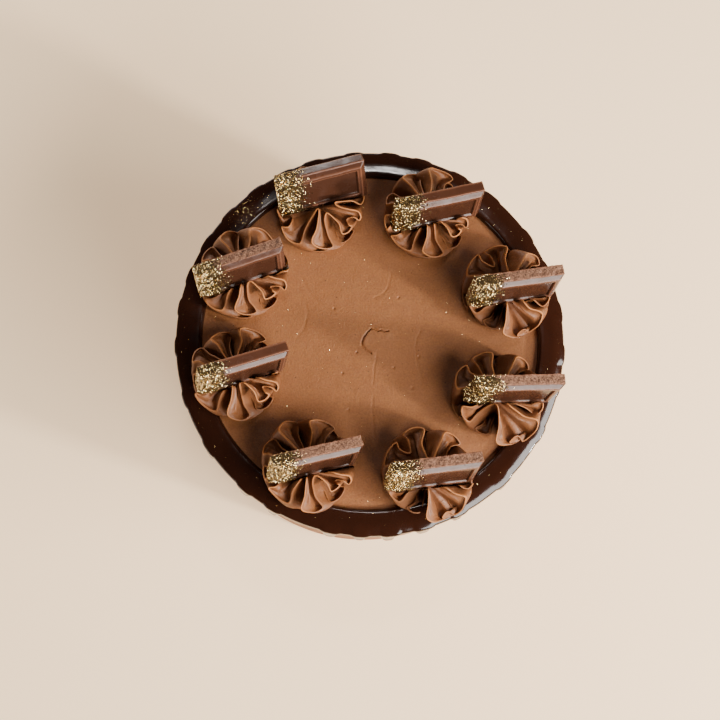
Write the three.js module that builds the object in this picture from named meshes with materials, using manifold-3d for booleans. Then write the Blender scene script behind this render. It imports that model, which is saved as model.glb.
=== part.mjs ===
// Round triple chocolate cake, uncut: a buttercream-covered cake, a ganache ring that drips over
// its edge, and eight ruffled rosettes on top, each with a moulded chocolate piece stuck in it.
// Millimetres, +Z up. The origin is the centre of the flat base.

import * as THREE from 'three';
import { mergeVertices } from 'three/addons/utils/BufferGeometryUtils.js';
import Module from 'manifold-3d';

// ---- driving dimensions ----------------------------------------------------------------------

const CAKE_HEIGHT = 110;
const CAKE_TOP_RADIUS = 77;
const CAKE_BASE_RADIUS = 78.8;
const CAKE_SIDES = 96;
const EDGE_ROUNDING = 1.2;

const GAP = 0.3;
const CUT_TOLERANCE = 0.03;

// The ring's inner edge rises in a rounded step to a flat, which slopes down to the cake's edge.
const GANACHE = {
  innerRadius: 67.8,
  thickness: 2.6,
  stepWidth: 1.5,
  toe: { inset: 0.3, rise: 1.6 },
  flatWidth: 4,
  brim: { inset: 1, rise: 1.4 },
  overhang: 0.9,
  edgeDrop: 1.2,
  skin: 1,
  shortFall: 4,
};
const DRIP = {
  halfWidth: 3,
  widthSpread: 0.15,
  shortest: 11,
  longest: 36,
  shortOnes: 1.5,
  bulge: 2,
  skin: 2.3,
  flankSwell: 0.7,
  endRound: 0.8,
  heel: 0.3,
  root: 5.6,
  seed: 7,
};
// Across a drip: how far each section is to one side, and its share of the drip's length.
const DRIP_SECTIONS = [[-1, 0], [-0.8, 0.84], [0, 1], [0.8, 0.84], [1, 0]];
// Where the drips run down, in degrees round the cake, anticlockwise from +X.
const DRIP_ANGLES = [
  -4, 9, 22, 34, 50, 62, 74, 84, 95, 108, 117, 127, 138, 149,
  160, 170, 182, 198, 214, 230, 240, 258, 267, 276, 286, 297, 313, 331, 346,
];

const ROSETTE = {
  radius: 19.4,
  wall: 0.6,
  crestSlope: 0.2,
  leastRim: 1,
  seed: 101,
};
// The two ways the piped ribbon lies. Each fold, going round anticlockwise, has the direction of its
// end and half its width there in degrees, its reach, how far its root is bent aside in degrees, how
// near to the centre the groove after it comes, and how far its second side lies below its first. A
// fall below 0 leaves the first side the lower one.
const OPEN_FOLDS = [
  { end: 280, half: 12, reach: 19.2, bend: 0, groove: 17.4, fall: 5 },
  { end: 316, half: 14, reach: 20.2, bend: -10, groove: 3.6, fall: -5 },
  { end: 347, half: 9, reach: 18.4, bend: 0, groove: 11.5, fall: -4 },
  { end: 15, half: 10, reach: 18, bend: 0, groove: 9, fall: 0 },
  { end: 53, half: 12, reach: 18.8, bend: 10, groove: 4.2, fall: -6 },
  { end: 107, half: 14, reach: 18.8, bend: 4, groove: 10.5, fall: 3 },
  { end: 150, half: 17, reach: 17.8, bend: 0, groove: 5.5, fall: 1 },
  { end: 208, half: 13, reach: 16.4, bend: 14, groove: 3.6, fall: 6 },
];
const HOOKED_FOLDS = [
  { end: 275, half: 15, reach: 18.4, bend: -3, groove: 5.5, fall: 6 },
  { end: 316, half: 10, reach: 15.8, bend: 4, groove: 12.4, fall: 1 },
  { end: 341, half: 6, reach: 17.8, bend: 0, groove: 6, fall: -2 },
  { end: 10, half: 11, reach: 18, bend: 0, groove: 9, fall: 0 },
  { end: 70, half: 17, reach: 19, bend: 0, groove: 4.2, fall: -6 },
  { end: 113, half: 14, reach: 18.9, bend: 2, groove: 4.6, fall: -7 },
  { end: 155, half: 12, reach: 18.5, bend: 0, groove: 11, fall: -3 },
  { end: 190, half: 9, reach: 18.2, bend: 0, groove: 12.5, fall: 1 },
  { end: 224, half: 17, reach: 18.8, bend: 4, groove: 3.8, fall: 3 },
];
// Corners along one fold: the share of the way from its groove to its end, and of half its width.
const FOLD_CORNERS = [[0.5, -0.78], [0.9, -0.98], [1, 0], [0.9, 0.98], [0.5, 0.78]];
// How unevenly the folds are piped: direction in degrees, share of the reach, height of the crest.
const FOLD_SPREAD = {
  direction: [-2.5, 2.5],
  reach: [0.95, 1.03],
  crest: [-1.2, 0.8],
};
// Levels of a rosette's wall: height, how far the line is drawn from its rounded foot to its crest,
// the foot's reach there, how far the level is turned in degrees, how far it droops at its rim, and
// how much of the crest's lift it has.
const FOLD_LEVELS = [
  { height: 0, drawn: 0.76, foot: 13, turned: 24, droop: 0, lift: 0 },
  { height: 3.5, drawn: 0.84, foot: 14, turned: 21, droop: 0, lift: 0.25 },
  { height: 9, drawn: 0.93, foot: 15.5, turned: 13, droop: 1.8, lift: 0.65 },
  { height: 16.5, drawn: 1, foot: 18, turned: 0, droop: 6, lift: 1 },
];
// Inside its crest a fold is hollow. At the bottom the hollow has lost this part of its width, and
// its end has come in by the slope.
const HOLLOW = { depth: 2.4, pinch: 0.72, slope: 3.4 };
// How far the crest falls in a groove that ends as far out as the shallow one.
const GROOVE_FALL = { shallow: 13, fall: 4 };
// Each rosette: its centre, how far it is turned in degrees, and the way its ribbon lies.
const ROSETTE_PLACES = [
  { x: -20.3, y: 53.7, turn: 0, ribbon: HOOKED_FOLDS },
  { x: 23.1, y: 51.1, turn: 3, ribbon: HOOKED_FOLDS },
  { x: 54.3, y: 19.2, turn: -4, ribbon: OPEN_FOLDS },
  { x: 49.9, y: -24, turn: 0, ribbon: OPEN_FOLDS },
  { x: 21.8, y: -54.2, turn: 1, ribbon: OPEN_FOLDS },
  { x: -24.8, y: -51, turn: 2, ribbon: HOOKED_FOLDS },
  { x: -53.4, y: -14.5, turn: 0, ribbon: HOOKED_FOLDS },
  { x: -50.6, y: 26.1, turn: -2, ribbon: HOOKED_FOLDS },
];

const PIECE = {
  length: 36,
  height: 19,
  thickness: 6,
  bevel: 1.8,
  endBevel: { left: 4, right: 2 },
  frame: 1.4,
  recess: 0.8,
  recessSlope: 0.7,
  sunkTo: 7,
};
// Each piece stands on its long edge. Its centre, its heading, how far its top leans back and how
// far it tips to its right end, in degrees.
const PIECE_PLACES = [
  { x: -18.9, y: 55.3, heading: 16, lean: 30, tip: 3 },
  { x: 26.1, y: 48.8, heading: 13.8, lean: 13, tip: 6 },
  { x: 56, y: 16.8, heading: 9.6, lean: 13, tip: 8 },
  { x: 54.2, y: -23.8, heading: 2.7, lean: 12, tip: 11 },
  { x: 22.9, y: -57.2, heading: 7.7, lean: 17, tip: 10 },
  { x: -23.4, y: -52.4, heading: 14.1, lean: 14, tip: 13 },
  { x: -51.6, y: -16.1, heading: 18.7, lean: 10, tip: 11 },
  { x: -51.4, y: 23.3, heading: 20.2, lean: 16, tip: 4 },
];

const MATERIALS = {
  buttercream: new THREE.MeshStandardMaterial({ color: 0x96643f, roughness: 0.62, metalness: 0 }),
  ganache: new THREE.MeshStandardMaterial({ color: 0x2a150b, roughness: 0.22, metalness: 0 }),
  chocolate: new THREE.MeshStandardMaterial({ color: 0x5f3a28, roughness: 0.38, metalness: 0 }),
};

const wasm = await Module();
wasm.setup();

// ---- helpers ---------------------------------------------------------------------------------

function radians(degrees) {
  return THREE.MathUtils.degToRad(degrees);
}

function mix(from, to, part) {
  return THREE.MathUtils.lerp(from, to, part);
}

// A repeatable source of numbers between 0 and 1.
function seededRandom(seed) {
  let state = seed;
  return () => {
    state = (state * 1664525 + 1013904223) % 4294967296;
    return state / 4294967296;
  };
}

function polar(radius, angle, z) {
  return new THREE.Vector3(radius * Math.cos(angle), radius * Math.sin(angle), z);
}

function geometryFrom(points, faces) {
  const geometry = new THREE.BufferGeometry();
  geometry.setAttribute('position', new THREE.Float32BufferAttribute(points.flatMap((p) => p.toArray()), 3));
  geometry.setIndex(faces.flat());
  return geometry;
}

// The two triangles of each cell between ring j and ring k, whose points run anticlockwise.
function bandFaces(j, k, count) {
  const faces = [];
  for (let i = 0; i < count; i += 1) {
    const next = (i + 1) % count;
    faces.push([j * count + i, j * count + next, k * count + next]);
    faces.push([j * count + i, k * count + next, k * count + i]);
  }
  return faces;
}

// A closed body through rings of equally many points, shut by a fan at each end.
function ringSolid(rings, firstCentre, lastCentre) {
  const count = rings[0].length;
  const points = [...rings.flat(), firstCentre, lastCentre];
  const faces = [];
  for (let j = 0; j + 1 < rings.length; j += 1) {
    faces.push(...bandFaces(j, j + 1, count));
  }
  const lastRing = (rings.length - 1) * count;
  for (let i = 0; i < count; i += 1) {
    const next = (i + 1) % count;
    faces.push([next, i, points.length - 2]);
    faces.push([lastRing + i, lastRing + next, points.length - 1]);
  }
  return geometryFrom(points, faces);
}

// A closed body like a ring: equal closed sections, one after another all the way round.
function hoopSolid(sections) {
  const faces = [];
  sections.forEach((section, j) => {
    faces.push(...bandFaces(j, (j + 1) % sections.length, section.length));
  });
  return geometryFrom(sections.flat(), faces);
}

function toSolid(geometry) {
  const bare = geometry.clone();
  bare.deleteAttribute('normal');
  bare.deleteAttribute('uv');
  const merged = mergeVertices(bare, 1e-4);
  const vertProperties = new Float32Array(merged.attributes.position.array);
  const triVerts = new Uint32Array(merged.index.array);
  return new wasm.Manifold(new wasm.Mesh({ numProp: 3, vertProperties, triVerts }));
}

function toGeometry(solid) {
  const mesh = solid.getMesh();
  const geometry = new THREE.BufferGeometry();
  geometry.setAttribute('position', new THREE.BufferAttribute(new Float32Array(mesh.vertProperties), 3));
  geometry.setIndex(new THREE.BufferAttribute(new Uint32Array(mesh.triVerts), 1));
  return geometry;
}

// A cut may leave a crumb beside the body. The body is the piece with the most volume.
function largestPiece(solid) {
  const pieces = solid.decompose();
  return pieces.reduce((best, piece) => (piece.volume() > best.volume() ? piece : best));
}

function lathe(profile, sides) {
  const points = profile.map(([radius, z]) => new THREE.Vector2(radius, z));
  return new THREE.LatheGeometry(points, sides).rotateX(Math.PI / 2);
}

function addMesh(parent, name, geometry, material) {
  geometry.computeVertexNormals();
  const mesh = new THREE.Mesh(geometry, material.clone());
  mesh.name = name;
  parent.add(mesh);
  return mesh;
}

// ---- cake ------------------------------------------------------------------------------------

function wallRadius(z) {
  return mix(CAKE_BASE_RADIUS, CAKE_TOP_RADIUS, z / CAKE_HEIGHT);
}

function cakeGeometry() {
  const footRadius = CAKE_BASE_RADIUS - EDGE_ROUNDING;
  const shoulder = CAKE_HEIGHT - EDGE_ROUNDING;
  return lathe([
    [0, 0],
    [footRadius, 0],
    [wallRadius(EDGE_ROUNDING), EDGE_ROUNDING],
    [wallRadius(shoulder), shoulder],
    [CAKE_TOP_RADIUS - EDGE_ROUNDING, CAKE_HEIGHT],
    [0, CAKE_HEIGHT],
  ], CAKE_SIDES);
}

// ---- ganache ring ----------------------------------------------------------------------------

// One section of the ring, as radius and height, from its inner toe over the top, down the drip
// and back up along the wall. fall is how far it runs down, and swell is how far it stands out at
// the cake's edge, from 0 in the notch between two drips to 1.
function ganacheProfile(fall, swell) {
  const { innerRadius, thickness, stepWidth, toe, flatWidth, brim, overhang, edgeDrop } = GANACHE;
  const top = CAKE_HEIGHT + thickness;
  const end = CAKE_HEIGHT - fall;
  const outer = CAKE_TOP_RADIUS + overhang + DRIP.bulge * swell;
  const wallAtEnd = wallRadius(end) + GAP;
  const skin = mix(GANACHE.skin, DRIP.skin, swell);
  return [
    [innerRadius, CAKE_HEIGHT],
    [innerRadius + toe.inset, CAKE_HEIGHT + toe.rise],
    [innerRadius + stepWidth, top],
    [innerRadius + stepWidth + flatWidth, top],
    [outer - brim.inset, CAKE_HEIGHT + brim.rise],
    [outer, CAKE_HEIGHT - edgeDrop],
    [wallAtEnd + skin, end + skin * DRIP.endRound],
    [wallAtEnd + skin * DRIP.heel, end],
    [wallRadius(CAKE_HEIGHT) + GAP, CAKE_HEIGHT],
  ];
}

// The angle, fall and swell of each section: one in the notch before a drip, and then its own.
function ganacheSections(random) {
  const halfAngle = THREE.MathUtils.radToDeg(DRIP.halfWidth / CAKE_TOP_RADIUS);
  return DRIP_ANGLES.flatMap((angle, index) => {
    const previous = index === 0 ? DRIP_ANGLES.at(-1) - 360 : DRIP_ANGLES[index - 1];
    const length = mix(DRIP.shortest, DRIP.longest, random() ** DRIP.shortOnes);
    const halfWidth = halfAngle * mix(1 - DRIP.widthSpread, 1 + DRIP.widthSpread, random());
    const notch = { angle: (angle + previous) / 2, fall: GANACHE.shortFall, swell: 0 };
    const drip = DRIP_SECTIONS.map(([side, share]) => ({
      angle: angle + side * halfWidth,
      fall: mix(DRIP.root, length, share),
      swell: mix(1, DRIP.flankSwell, Math.abs(side)),
    }));
    return [notch, ...drip];
  });
}

function ganacheGeometry() {
  const sections = ganacheSections(seededRandom(DRIP.seed)).map(({ angle, fall, swell }) => (
    ganacheProfile(fall, swell).map(([radius, z]) => polar(radius, radians(angle), z))
  ));
  return hoopSolid(sections);
}

// ---- rosettes --------------------------------------------------------------------------------

// The folds of one rosette, each a little off those of its ribbon.
function foldsOf({ turn, ribbon }, random) {
  const draw = ([lowest, highest]) => mix(lowest, highest, random());
  return ribbon.map((fold) => ({
    ...fold,
    end: fold.end + draw(FOLD_SPREAD.direction) + turn,
    reach: fold.reach * draw(FOLD_SPREAD.reach),
    crest: draw(FOLD_SPREAD.crest),
  }));
}

// The corners that the folds' line goes through, as direction in degrees, distance and lift. A
// pinch, up to 1, narrows the folds.
function foldCorners(folds, pinch) {
  const outerSide = FOLD_CORNERS.at(-1)[1];
  return folds.flatMap((fold, index) => {
    const before = folds.at(index - 1);
    const after = folds[(index + 1) % folds.length];
    const corners = FOLD_CORNERS.map(([share, side]) => {
      const start = side < 0 ? before.groove : fold.groove;
      return {
        direction: fold.end + fold.bend * (1 - share) + fold.half * (1 - pinch) * side,
        distance: mix(start, fold.reach, share) - HOLLOW.slope * pinch * share ** 2,
        lift: fold.crest - (Math.abs(fold.fall) + fold.fall * side) / 2,
      };
    });
    const side = fold.end + fold.half * outerSide;
    const room = THREE.MathUtils.euclideanModulo(after.end - after.half * outerSide - side, 360);
    const shallow = Math.min(1, fold.groove / GROOVE_FALL.shallow) ** 3;
    const groove = {
      direction: side + room / 2,
      distance: fold.groove,
      lift: (fold.crest + after.crest) / 2 - GROOVE_FALL.fall * shallow,
    };
    return [...corners, groove];
  });
}

// The closed line that a level's folds follow, seen from above.
function foldLine(folds, level, pinch = 0) {
  return foldCorners(folds, pinch).map(({ direction, distance, lift }) => {
    const reach = mix(level.foot, distance, level.drawn);
    return { point: polar(reach, radians(direction + level.turned), 0), lift };
  });
}

// A fold's line moved sideways into the rosette, by the thickness of its wall.
function movedIn(line, distance) {
  return line.map(({ point, lift }, i) => {
    const before = line[(i + line.length - 1) % line.length].point;
    const after = line[(i + 1) % line.length].point;
    const along = after.clone().sub(before).normalize();
    const inward = new THREE.Vector3(-along.y, along.x, 0);
    return { point: point.clone().addScaledVector(inward, distance), lift };
  });
}

// A fold's line lifted to its height. It droops towards the end of each fold.
function raised(line, level, below = 0) {
  const least = Math.min(level.height, ROSETTE.leastRim);
  return line.map(({ point, lift }) => {
    const outwards = point.length() / ROSETTE.radius;
    const z = level.height - below - level.droop * outwards ** 2 + lift * level.lift;
    return new THREE.Vector3(point.x, point.y, Math.max(z, least));
  });
}

// One line of the hollow inside the crest, some part of the way round from its rim to its bottom.
function hollowRing(folds, part) {
  const crest = FOLD_LEVELS.at(-1);
  const turn = part * (Math.PI / 2);
  const line = foldLine(folds, crest, HOLLOW.pinch * (1 - Math.cos(turn)));
  return raised(movedIn(line, ROSETTE.wall), crest, HOLLOW.depth * Math.sin(turn));
}

function rosetteGeometry(place, seed) {
  const folds = foldsOf(place, seededRandom(seed));
  const crest = FOLD_LEVELS.at(-1);
  const innerCrest = movedIn(foldLine(folds, crest), ROSETTE.wall);
  const rings = [
    ...FOLD_LEVELS.map((level) => raised(foldLine(folds, level), level)),
    raised(innerCrest, crest, ROSETTE.crestSlope),
    hollowRing(folds, 0.5),
    hollowRing(folds, 1),
  ];
  const bottom = polar(0, 0, crest.height - HOLLOW.depth);
  return ringSolid(rings, polar(0, 0, 0), bottom);
}

// The room that the ganache ring takes, with a gap round it.
function ringRoom() {
  const { innerRadius, thickness, stepWidth, toe, flatWidth, brim } = GANACHE;
  const top = CAKE_HEIGHT + thickness + GAP;
  const inner = innerRadius - GAP;
  const outer = CAKE_TOP_RADIUS + ROSETTE.radius;
  const below = CAKE_HEIGHT - EDGE_ROUNDING;
  return toSolid(lathe([
    [inner, below],
    [outer, below],
    [outer, CAKE_HEIGHT + brim.rise + GAP],
    [innerRadius + stepWidth + flatWidth, top],
    [innerRadius + stepWidth - GAP, top],
    [inner, CAKE_HEIGHT + toe.rise + GAP],
    [inner, below],
  ], CAKE_SIDES));
}

// ---- moulded chocolate pieces ----------------------------------------------------------------

// A rectangle across the piece, set in from its left end, right end and long edges.
function pieceRing(depth, left, right, edge) {
  const { length, height } = PIECE;
  return [
    new THREE.Vector3(-length / 2 + left, depth, edge),
    new THREE.Vector3(length / 2 - right, depth, edge),
    new THREE.Vector3(length / 2 - right, depth, height - edge),
    new THREE.Vector3(-length / 2 + left, depth, height - edge),
  ];
}

// From the flat back to the bevelled front, whose framed panel is bare and slightly sunk.
function pieceGeometry() {
  const { thickness, height, bevel, endBevel, frame, recess, recessSlope } = PIECE;
  const back = thickness / 2;
  const front = -thickness / 2;
  const panel = front + recess;
  const setIn = (extra) => [endBevel.left + extra, endBevel.right + extra, bevel + extra];
  const rings = [
    pieceRing(back, 0, 0, 0),
    pieceRing(front + bevel, 0, 0, 0),
    pieceRing(front, ...setIn(0)),
    pieceRing(front, ...setIn(frame)),
    pieceRing(panel, ...setIn(frame + recessSlope)),
  ];
  const backCentre = new THREE.Vector3(0, back, height / 2);
  const panelCentre = new THREE.Vector3(0, panel, height / 2);
  return ringSolid(rings, backCentre, panelCentre);
}

function placePiece(object, { x, y, heading, lean, tip }) {
  object.position.set(x, y, CAKE_HEIGHT + PIECE.sunkTo);
  object.rotation.set(radians(-lean), radians(tip), radians(heading), 'ZYX');
  object.updateMatrixWorld();
}

// The room that a placed piece takes, with a gap round it.
function pieceRoom(place) {
  const { length, height, thickness } = PIECE;
  const box = new THREE.BoxGeometry(length + 2 * GAP, thickness + 2 * GAP, height + 2 * GAP);
  const holder = new THREE.Object3D();
  placePiece(holder, place);
  return toSolid(box.translate(0, 0, height / 2).applyMatrix4(holder.matrixWorld));
}

// ---- assembly --------------------------------------------------------------------------------

function buildCake() {
  const cake = new THREE.Group();
  addMesh(cake, 'cake_body', cakeGeometry(), MATERIALS.buttercream);
  addMesh(cake, 'ganache_ring', ganacheGeometry(), MATERIALS.ganache);

  const ring = ringRoom();
  ROSETTE_PLACES.forEach((place, index) => {
    const whole = rosetteGeometry(place, ROSETTE.seed + index).translate(place.x, place.y, CAKE_HEIGHT);
    const cut = toSolid(whole).subtract(ring).subtract(pieceRoom(PIECE_PLACES[index]));
    const fitted = largestPiece(cut).simplify(CUT_TOLERANCE);
    addMesh(cake, `rosette_${index + 1}`, toGeometry(fitted), MATERIALS.buttercream);
  });

  PIECE_PLACES.forEach((place, index) => {
    const piece = addMesh(cake, `chocolate_piece_${index + 1}`, pieceGeometry(), MATERIALS.chocolate);
    placePiece(piece, place);
  });
  return cake;
}

export default buildCake();
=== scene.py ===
"""The looks of a round triple chocolate cake: smoothed buttercream, a ganache ring that drips down the
wall, ruffled rosettes, and moulded chocolate pieces dusted with gold. Lengths in the named values
are millimetres, and angles are degrees anticlockwise from +X, unless a comment says otherwise."""

import math

import bpy
import numpy as np
from mathutils import Euler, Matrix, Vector, noise


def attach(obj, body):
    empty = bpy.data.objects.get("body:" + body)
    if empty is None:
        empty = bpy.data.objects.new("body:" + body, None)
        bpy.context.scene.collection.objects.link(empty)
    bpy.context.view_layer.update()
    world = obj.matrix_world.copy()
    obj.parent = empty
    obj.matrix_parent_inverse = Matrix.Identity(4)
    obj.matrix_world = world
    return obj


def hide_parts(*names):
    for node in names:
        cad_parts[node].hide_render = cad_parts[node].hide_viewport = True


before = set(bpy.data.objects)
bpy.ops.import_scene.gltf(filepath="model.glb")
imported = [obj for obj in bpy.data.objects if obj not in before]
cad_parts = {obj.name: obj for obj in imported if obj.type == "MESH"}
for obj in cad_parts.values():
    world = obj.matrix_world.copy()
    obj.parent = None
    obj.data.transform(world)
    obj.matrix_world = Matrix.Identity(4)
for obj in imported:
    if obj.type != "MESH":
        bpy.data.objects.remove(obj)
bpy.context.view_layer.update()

MM = 0.001

# ---- sizes that the solids have too ----

CAKE_HEIGHT = 110.0
CAKE_TOP_RADIUS = 77.0
CAKE_BASE_RADIUS = 78.8
EDGE_ROUNDING = 1.2

RING_INNER_RADIUS = 67.8
RING_THICKNESS = 2.6
RING_STEP_WIDTH = 1.5
RING_FLAT_WIDTH = 4.0
RING_FALL = 4.0

DRIP_HALF_WIDTH = 3.0
DRIP_WIDTH_SPREAD = 0.15
DRIP_SHORTEST = 11.0
DRIP_LONGEST = 36.0
DRIP_SHORT_ONES = 1.5
DRIP_SEED = 7
DRIP_ANGLES = [
    -4, 9, 22, 34, 50, 62, 74, 84, 95, 108, 117, 127, 138, 149,
    160, 170, 182, 198, 214, 230, 240, 258, 267, 276, 286, 297, 313, 331, 346,
]

ROSETTE_RADIUS = 19.4
ROSETTE_HEIGHT = 16.5
ROSETTE_SEED = 101
# Above its foot, a rosette's wall is nowhere lower than this.
LEAST_RIM = 1.0
# The two ways the ribbon lies. Each fold, going round, has the direction of its end, half its width
# there in degrees, its reach, how far it is bent at its root in degrees, how near to the centre the
# groove after it comes, and how far its second side lies below its first, or above it.
OPEN_FOLDS = [
    (280, 12, 19.2, 0, 17.4, 5), (316, 14, 20.2, -10, 3.6, -5), (347, 9, 18.4, 0, 11.5, -4),
    (15, 10, 18.0, 0, 9.0, 0), (53, 12, 18.8, 10, 4.2, -6), (107, 14, 18.8, 4, 10.5, 3),
    (150, 17, 17.8, 0, 5.5, 1), (208, 13, 16.4, 14, 3.6, 6),
]
HOOKED_FOLDS = [
    (275, 15, 18.4, -3, 5.5, 6), (316, 10, 15.8, 4, 12.4, 1), (341, 6, 17.8, 0, 6.0, -2),
    (10, 11, 18.0, 0, 9.0, 0), (70, 17, 19.0, 0, 4.2, -6), (113, 14, 18.9, 2, 4.6, -7),
    (155, 12, 18.5, 0, 11.0, -3), (190, 9, 18.2, 0, 12.5, 1), (224, 17, 18.8, 4, 3.8, 3),
]
# Points along one fold: the share of the way from its groove to its end, and of half its width.
FOLD_POINTS = [(0.5, -0.78), (0.9, -0.98), (1.0, 0.0), (0.9, 0.98), (0.5, 0.78)]
# Levels of a rosette's wall: height, how far the line is drawn from its rounded foot to its crest,
# the foot's reach there, how much of the folds' rise and fall it has, how far it is turned back from
# the crest, in degrees, and how far the folds' ends droop.
FOLD_LEVELS = {
    "height": [0.0, 3.5, 9.0, 16.5],
    "drawn": [0.76, 0.84, 0.93, 1.0],
    "foot": [13.0, 14.0, 15.5, 18.0],
    "lift": [0.0, 0.25, 0.65, 1.0],
    "turned": [24.0, 21.0, 13.0, 0.0],
    "droop": [0.0, 0.0, 1.8, 6.0],
}
# The hollow inside a crest: its depth, the share of a fold's width that goes on the way down, and
# how far the fold's end would come in if all of it went.
HOLLOW_DEPTH = 2.4
HOLLOW_PINCH = 0.72
HOLLOW_SLOPE = 3.4
# How far the crest falls in a groove that stays as far as this from the centre, or further.
GROOVE_FALL = 4.0
SHALLOW_GROOVE = 13.0
# How much a fold may differ from the common one: in degrees, as a share, and in height.
FOLD_SPREAD = {"direction": (-2.5, 2.5), "reach": (0.95, 1.03), "crest": (-1.2, 0.8)}
# Each rosette: its centre, how far it is turned, and its folds.
ROSETTE_PLACES = [
    (-20.3, 53.7, 0, HOOKED_FOLDS), (23.1, 51.1, 3, HOOKED_FOLDS), (54.3, 19.2, -4, OPEN_FOLDS),
    (49.9, -24.0, 0, OPEN_FOLDS), (21.8, -54.2, 1, OPEN_FOLDS), (-24.8, -51.0, 2, HOOKED_FOLDS),
    (-53.4, -14.5, 0, HOOKED_FOLDS), (-50.6, 26.1, -2, HOOKED_FOLDS),
]

PIECE_LENGTH = 36.0
PIECE_HEIGHT = 19.0
PIECE_THICKNESS = 6.0
PIECE_BEVEL = 1.8
PIECE_LEFT_BEVEL = 4.0
PIECE_RIGHT_BEVEL = 2.0
PIECE_FRAME = 1.4
PIECE_RECESS = 0.8
PIECE_RECESS_SLOPE = 0.7
PIECE_SUNK_TO = 7.0
# Each piece: its centre, its heading, how far its top leans back, and how far it tips to the right.
PIECE_PLACES = [
    (-18.9, 55.3, 16, 30, 3), (26.1, 48.8, 13.8, 13, 6), (56.0, 16.8, 9.6, 13, 8),
    (54.2, -23.8, 2.7, 12, 11), (22.9, -57.2, 7.7, 17, 10), (-23.4, -52.4, 14.1, 14, 13),
    (-51.6, -16.1, 18.7, 10, 11), (-51.4, 23.3, 20.2, 16, 4),
]
# The pieces whose top edge is a rough break, not a smooth moulded one.
BROKEN_PIECES = {3, 4, 5, 6, 8}

# ---- helpers ----


def srgb(red, green, blue):
    """A colour as light, from its 0 to 255 values on a screen."""
    levels = [value / 255 for value in (red, green, blue)]
    return tuple(v / 12.92 if v <= 0.04045 else ((v + 0.055) / 1.055) ** 2.4 for v in levels) + (1.0,)


def mix(start, end, part):
    return start + (end - start) * part


def smooth_step(low, high, value):
    part = np.clip((value - low) / (high - low), 0, 1)
    return part * part * (3 - 2 * part)


def seeded_random(seed):
    """Repeatable numbers between 0 and 1, one after another, as the solids use them."""
    state = seed
    while True:
        state = (state * 1664525 + 1013904223) % 4294967296
        yield state / 4294967296


def curve_through(places, values, at):
    """A smooth curve through values at increasing places, read at other places."""
    slopes = np.gradient(np.asarray(values, float), np.asarray(places, float))
    index = np.clip(np.searchsorted(places, at, side="right") - 1, 0, len(places) - 2)
    start, end = np.take(places, index), np.take(places, index + 1)
    gap = end - start
    t = (at - start) / gap
    leaving = np.take(values, index) * (1 + 2 * t) * (1 - t) ** 2
    arriving = np.take(values, index + 1) * t * t * (3 - 2 * t)
    slope_leaving = np.take(slopes, index) * t * (1 - t) ** 2
    slope_arriving = np.take(slopes, index + 1) * t * t * (t - 1)
    return leaving + arriving + gap * (slope_leaving + slope_arriving)


def lengths(rows):
    return np.linalg.norm(rows, axis=1)


def on_circle(radius, angle):
    """Points of the plane at these distances from the middle and these angles in radians."""
    return np.stack([radius * np.cos(angle), radius * np.sin(angle)], axis=-1)


def bumps(points, size, seed):
    """Smooth noise from about -1 to 1 at points, with bumps of about this size."""
    shift = Vector((seed * 17.3, seed * 5.1, seed * 9.7))
    scaled = (np.asarray(points, float) / size).tolist()
    return np.array([noise.noise(Vector(p) + shift) for p in scaled])


def bumps_each_way(points, size, seed):
    """Bumps in x, y and z, one seed after another."""
    return np.stack([bumps(points, size, seed + k) for k in range(3)], axis=-1)


def distance_to_line(points, line):
    """How far each point is from a line through corners, both in the plane."""
    nearest = np.full(len(points), np.inf)
    for start, end in zip(np.array(line[:-1], float), np.array(line[1:], float)):
        along = end - start
        part = np.clip((points - start) @ along / (along @ along), 0, 1)
        gap = lengths(points - start - part[:, None] * along)
        nearest = np.minimum(nearest, gap)
    return nearest


def band_faces(rings, count, around=False):
    """The four-sided faces between neighbouring rings of equally many points."""
    steps = rings if around else rings - 1
    lower = np.arange(steps)[:, None] * count
    upper = (np.arange(steps)[:, None] + 1) % rings * count
    here = np.arange(count)[None, :]
    after = (here + 1) % count
    return np.stack([lower + here, lower + after, upper + after, upper + here], axis=-1).reshape(-1, 4)


def cap_faces(first, count, centre):
    """The fan of triangles that shuts a ring."""
    return [[first + i, first + (i + 1) % count, centre] for i in range(count)]


def outward(points, faces):
    """The faces, turned over if the body they close is inside out."""
    volume = 0.0
    for corners in (3, 4):
        group = np.array([face for face in faces if len(face) == corners], int)
        for k in range(1, corners - 1):
            if len(group):
                a, b, c = points[group[:, 0]], points[group[:, k]], points[group[:, k + 1]]
                volume += np.einsum("ij,ij->", a, np.cross(b, c))
    return faces if volume > 0 else [face[::-1] for face in faces]


def ring_body(rings, first_centre, last_centre):
    """Points and faces of a closed body through rings, shut by a fan at each end."""
    rings = np.asarray(rings, float)
    levels, count = rings.shape[:2]
    points = np.vstack([rings.reshape(-1, 3), [first_centre, last_centre]])
    faces = band_faces(levels, count).tolist()
    faces += [face[::-1] for face in cap_faces(0, count, len(points) - 2)]
    faces += cap_faces((levels - 1) * count, count, len(points) - 1)
    return points, outward(points, faces)


def add_object(name, data):
    added = bpy.data.objects.new(name, data)
    bpy.context.scene.collection.objects.link(added)
    return added


def add_piece(name, points, faces, material, nodes=(), marks=None, smooth=True):
    """A piece of the object, in millimetres, with named values at its points for its material."""
    mesh = bpy.data.meshes.new(name)
    mesh.from_pydata((np.asarray(points) * MM).tolist(), [], faces)
    if smooth:
        mesh.shade_smooth()
    for mark, values in (marks or {}).items():
        attribute = mesh.attributes.new(mark, "FLOAT", "POINT")
        attribute.data.foreach_set("value", np.asarray(values, np.float32))
    mesh.materials.append(material)
    piece = add_object(name, mesh)
    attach(piece, "root")
    if nodes:
        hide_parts(*nodes)
    return piece


# ---- materials ----

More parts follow.
